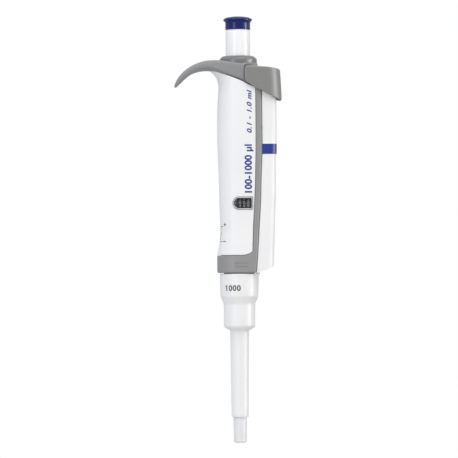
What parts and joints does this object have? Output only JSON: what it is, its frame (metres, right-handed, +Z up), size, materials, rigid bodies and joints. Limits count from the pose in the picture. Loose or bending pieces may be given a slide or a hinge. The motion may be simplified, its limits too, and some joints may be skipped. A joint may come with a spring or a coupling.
{
  "type": "adjustable micropipette",
  "caption": "Hand-held adjustable micropipette with finger rest, turning push button, volume display, side tip ejector and sprung tip cone.",
  "frame": {"origin": "middle of the flat seat on the underside of the finger rest, where a stand or carousel carries the pipette", "axes": "+Z up along the plunger axis towards the control button, -X towards the finger rest's point, +X towards the tip ejector, -Y towards the reader of the display"},
  "size_m": [0.0616, 0.0264, 0.245],
  "materials": {
    "white_shell": "satin moulded plastic, fine texture",
    "grey_plastic": "satin moulded plastic",
    "hood_grey": "satin moulded plastic",
    "blue_plastic": "semi-gloss moulded plastic",
    "cloudy_plastic": "milky polypropylene",
    "clear_lens": "clear polycarbonate",
    "digit_drum": "printed drum",
    "steel": "fine turned",
    "spring_steel": "drawn wire",
    "brass": "machined",
    "acetal": "natural acetal",
    "dark_plastic": "glass-filled nylon",
    "seal_rubber": "nitrile rubber",
    "piston_ceramic": "polished"
  },
  "bodies": {
    "housing": {"front_shell": "white_shell", "handle_frame": "grey_plastic", "finger_rest": "grey_plastic", "top_collar": "grey_plastic", "guide_bush": "acetal", "window_bezel": "cloudy_plastic", "display_lens": "clear_lens", "counter_bracket": "dark_plastic", "counter_shaft": "steel", "transfer_shaft": "steel", "inner_cage": "dark_plastic", "cylinder": "acetal", "mounting_nut": "dark_plastic", "return_spring": "spring_steel", "blowout_spring": "spring_steel", "cone_retainer": "steel", "cone_spring": "spring_steel", "ejector_spring": "spring_steel"},
    "plunger": {"piston_plate": "steel", "piston": "piston_ceramic", "piston_seal": "seal_rubber"},
    "volume_knob": {"control_button_cap": "blue_plastic", "control_button_sleeve": "cloudy_plastic", "lifting_rod": "steel"},
    "spindle_drive": {"drive_gear": "brass", "volume_spindle": "brass"},
    "volume_stop": {"stop_nut": "brass"},
    "counter_relay": {"relay_gear": "acetal"},
    "units_wheel": {"wheel_units": "digit_drum"},
    "tens_wheel": {"wheel_tens": "digit_drum"},
    "hundreds_wheel": {"wheel_hundreds": "digit_drum"},
    "thousands_wheel": {"wheel_thousands": "digit_drum"},
    "tens_pinion": {"transfer_pinion_tens": "acetal"},
    "hundreds_pinion": {"transfer_pinion_hundreds": "acetal"},
    "thousands_pinion": {"transfer_pinion_thousands": "acetal"},
    "blowout_stop": {"blowout_ring": "steel"},
    "ejector": {"ejector_button": "hood_grey", "ejector_arm": "white_shell", "volume_band": "blue_plastic", "ejector_sleeve": "white_shell", "ejector_rod": "steel"},
    "cone": {"tip_cone": "cloudy_plastic", "stem_seal": "seal_rubber"}
  },
  "joints": [
    {"name": "plunger_stroke", "type": "slide", "parent": "housing", "child": "plunger", "axis": [0, 0, -1], "range_m": [0, 0.015], "stiffness_N_per_m": 300, "springref_m": -0.01, "deforming": ["return_spring"]},
    {"name": "volume_turn", "type": "hinge", "parent": "plunger", "child": "volume_knob", "pos_m": [0.02, 0, 0], "axis": [0, 0, -1], "range_deg": [0, 3240.03]},
    {"name": "spindle_turn", "type": "hinge", "parent": "housing", "child": "spindle_drive", "pos_m": [0.02, 0, -0.0737], "axis": [0, 0, -1], "range_deg": [0, 3240.03]},
    {"name": "volume_stop_slide", "type": "slide", "parent": "housing", "child": "volume_stop", "axis": [0, 0, -1], "range_m": [0, 0.01143]},
    {"name": "relay_turn", "type": "hinge", "parent": "housing", "child": "counter_relay", "pos_m": [0.02, 0, -0.0733], "axis": [-1, 0, 0], "range_deg": [-12960.13, 0]},
    {"name": "units_turn", "type": "hinge", "parent": "housing", "child": "units_wheel", "pos_m": [0.02, -0.0061, -0.0761], "axis": [-1, 0, 0], "range_deg": [0, 16200.16]},
    {"name": "tens_turn", "type": "hinge", "parent": "housing", "child": "tens_wheel", "pos_m": [0.02, -0.0061, -0.0761], "axis": [-1, 0, 0], "range_deg": [0, 3240.03]},
    {"name": "hundreds_turn", "type": "hinge", "parent": "housing", "child": "hundreds_wheel", "pos_m": [0.02, -0.0061, -0.0761], "axis": [-1, 0, 0], "range_deg": [0, 324]},
    {"name": "thousands_turn", "type": "hinge", "parent": "housing", "child": "thousands_wheel", "pos_m": [0.02, -0.0061, -0.0761], "axis": [-1, 0, 0], "range_deg": [0, 32.4]},
    {"name": "tens_pinion_turn", "type": "hinge", "parent": "housing", "child": "tens_pinion", "pos_m": [0.02, -0.00809, -0.07184], "axis": [-1, 0, 0], "range_deg": [-8100.08, 0]},
    {"name": "hundreds_pinion_turn", "type": "hinge", "parent": "housing", "child": "hundreds_pinion", "pos_m": [0.02, -0.00809, -0.07184], "axis": [-1, 0, 0], "range_deg": [-810.01, 0]},
    {"name": "thousands_pinion_turn", "type": "hinge", "parent": "housing", "child": "thousands_pinion", "pos_m": [0.02, -0.00809, -0.07184], "axis": [-1, 0, 0], "range_deg": [-81, 0]},
    {"name": "blowout_slide", "type": "slide", "parent": "housing", "child": "blowout_stop", "axis": [0, 0, -1], "range_m": [0, 0.0023], "deforming": ["blowout_spring"]},
    {"name": "ejector_slide", "type": "slide", "parent": "housing", "child": "ejector", "axis": [0, 0, -1], "range_m": [0, 0.008], "stiffness_N_per_m": 400, "springref_m": -0.006, "deforming": ["ejector_spring"]},
    {"name": "cone_slide", "type": "slide", "parent": "housing", "child": "cone", "axis": [0, 0, 1], "range_m": [0, 0.0025], "stiffness_N_per_m": 1500, "springref_m": -0.003, "deforming": ["cone_spring"]}
  ],
  "couplings": [
    {"joint": "volume_turn", "follows": "volume_stop_slide", "rad_per_m": 4947.4},
    {"joint": "spindle_turn", "follows": "volume_stop_slide", "rad_per_m": 4947.4},
    {"joint": "relay_turn", "follows": "volume_stop_slide", "rad_per_m": -19790},
    {"joint": "units_turn", "follows": "volume_stop_slide", "rad_per_m": 24737},
    {"joint": "tens_turn", "follows": "volume_stop_slide", "rad_per_m": 4947.4},
    {"joint": "hundreds_turn", "follows": "volume_stop_slide", "rad_per_m": 494.74},
    {"joint": "thousands_turn", "follows": "volume_stop_slide", "rad_per_m": 49.474},
    {"joint": "tens_pinion_turn", "follows": "volume_stop_slide", "rad_per_m": -12368},
    {"joint": "hundreds_pinion_turn", "follows": "volume_stop_slide", "rad_per_m": -1236.8},
    {"joint": "thousands_pinion_turn", "follows": "volume_stop_slide", "rad_per_m": -123.68},
    {"joint": "blowout_slide", "follows": "plunger_stroke", "ratio": 0.15333}
  ]
}
